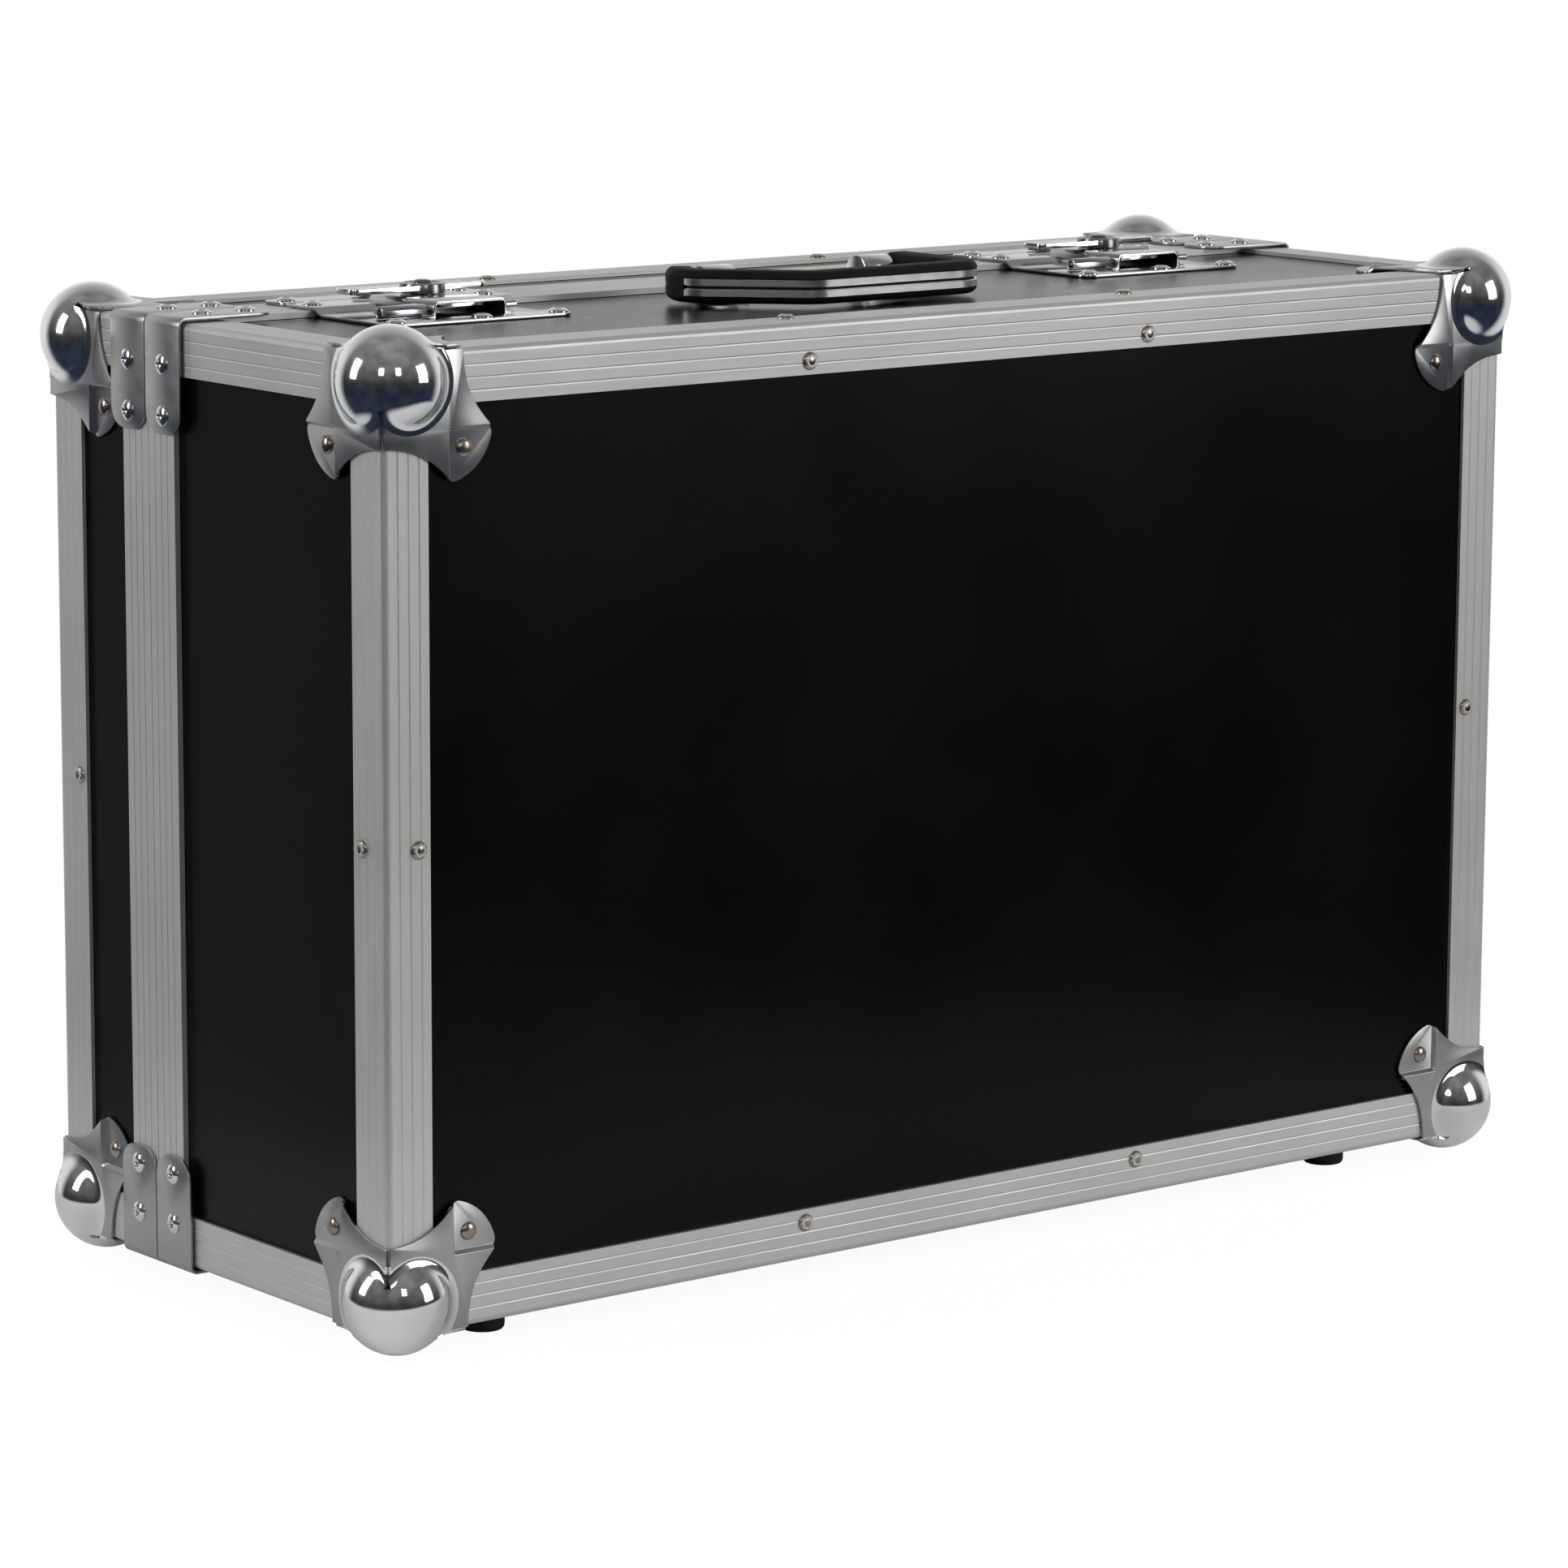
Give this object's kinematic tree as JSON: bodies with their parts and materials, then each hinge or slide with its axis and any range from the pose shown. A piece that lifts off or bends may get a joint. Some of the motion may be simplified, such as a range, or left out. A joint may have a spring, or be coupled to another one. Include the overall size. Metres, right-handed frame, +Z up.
{
  "type": "flight case",
  "caption": "black laminate flight case with aluminium edges, chromed ball corners and braces, twist latches, a folding top handle and a hinged lid",
  "frame": {"origin": "centre of the footprint, on the ground under the feet", "axes": "+X along the case's length, -Y out of the base's large face, +Z up"},
  "size_m": [0.578, 0.241, 0.3872],
  "materials": {
    "black_laminate": "plywood faced with fine-grained black laminate, semi-matt",
    "satin_aluminium": "satin anodised extrusion with fine grooves",
    "chromed_steel": "bright chromed pressed steel",
    "black_rubber": "matt black rubber",
    "black_moulding": "black moulded plastic, slightly worn",
    "foam_lining": "dark grey closed-cell foam"
  },
  "bodies": {
    "base": {"front_panel": "black_laminate", "base_top_panel": "black_laminate", "base_bottom_panel": "black_laminate", "base_left_panel": "black_laminate", "base_right_panel": "black_laminate", "front_top_angle": "satin_aluminium", "front_bottom_angle": "satin_aluminium", "front_left_angle": "satin_aluminium", "front_right_angle": "satin_aluminium", "base_top_left_angle": "satin_aluminium", "base_top_right_angle": "satin_aluminium", "base_bottom_left_angle": "satin_aluminium", "base_bottom_right_angle": "satin_aluminium", "base_split_frame": "satin_aluminium", "base_top_left_ball_corner": "chromed_steel", "base_top_right_ball_corner": "chromed_steel", "base_bottom_left_ball_corner": "chromed_steel", "base_bottom_right_ball_corner": "chromed_steel", "base_top_left_brace": "chromed_steel", "base_top_right_brace": "chromed_steel", "base_bottom_left_brace": "chromed_steel", "base_bottom_right_brace": "chromed_steel", "front_left_foot": "black_rubber", "front_right_foot": "black_rubber", "left_handle_bracket": "chromed_steel", "right_handle_bracket": "chromed_steel", "left_latch_plate": "chromed_steel", "right_latch_plate": "chromed_steel", "left_hinge_base_leaf": "chromed_steel", "right_hinge_base_leaf": "chromed_steel", "base_lining": "foam_lining"},
    "lid": {"back_panel": "black_laminate", "lid_top_panel": "black_laminate", "lid_bottom_panel": "black_laminate", "lid_left_panel": "black_laminate", "lid_right_panel": "black_laminate", "lid_edge_frame": "satin_aluminium", "lid_split_frame": "satin_aluminium", "lid_top_left_ball_corner": "chromed_steel", "lid_top_right_ball_corner": "chromed_steel", "lid_bottom_left_ball_corner": "chromed_steel", "lid_bottom_right_ball_corner": "chromed_steel", "lid_top_left_brace": "chromed_steel", "lid_top_right_brace": "chromed_steel", "lid_bottom_left_brace": "chromed_steel", "lid_bottom_right_brace": "chromed_steel", "left_latch_keeper": "chromed_steel", "right_latch_keeper": "chromed_steel", "left_hinge_lid_leaf": "chromed_steel", "right_hinge_lid_leaf": "chromed_steel", "rear_left_foot": "black_rubber", "rear_right_foot": "black_rubber", "lid_lining": "foam_lining"},
    "handle": {"handle_grip": "black_moulding", "handle_band": "chromed_steel"},
    "left_wing": {"left_latch_wing": "chromed_steel"},
    "left_hook": {"left_latch_hook": "chromed_steel"},
    "right_wing": {"right_latch_wing": "chromed_steel"},
    "right_hook": {"right_latch_hook": "chromed_steel"}
  },
  "joints": [
    {"name": "lid_hinge", "type": "hinge", "parent": "base", "child": "lid", "pos_m": [0, 0.0425, 0.0071], "axis": [-1, 0, 0], "range_deg": [0, 105]},
    {"name": "handle_lift", "type": "hinge", "parent": "base", "child": "handle", "pos_m": [0, -0.012, 0.3807], "axis": [-1, 0, 0], "range_deg": [0, 90]},
    {"name": "left_latch_turn", "type": "hinge", "parent": "base", "child": "left_wing", "pos_m": [-0.172, 0.0176, 0.3845], "axis": [0, 0, 1], "range_deg": [0, 180]},
    {"name": "left_latch_slide", "type": "slide", "parent": "base", "child": "left_hook", "axis": [0, -1, 0], "range_m": [0, 0.006]},
    {"name": "right_latch_turn", "type": "hinge", "parent": "base", "child": "right_wing", "pos_m": [0.172, 0.0176, 0.3845], "axis": [0, 0, 1], "range_deg": [0, 180]},
    {"name": "right_latch_slide", "type": "slide", "parent": "base", "child": "right_hook", "axis": [0, -1, 0], "range_m": [0, 0.006]}
  ],
  "couplings": [
    {"joint": "left_latch_slide", "follows": "left_latch_turn", "m_per_rad": 0.0019},
    {"joint": "right_latch_slide", "follows": "right_latch_turn", "m_per_rad": 0.0019}
  ]
}
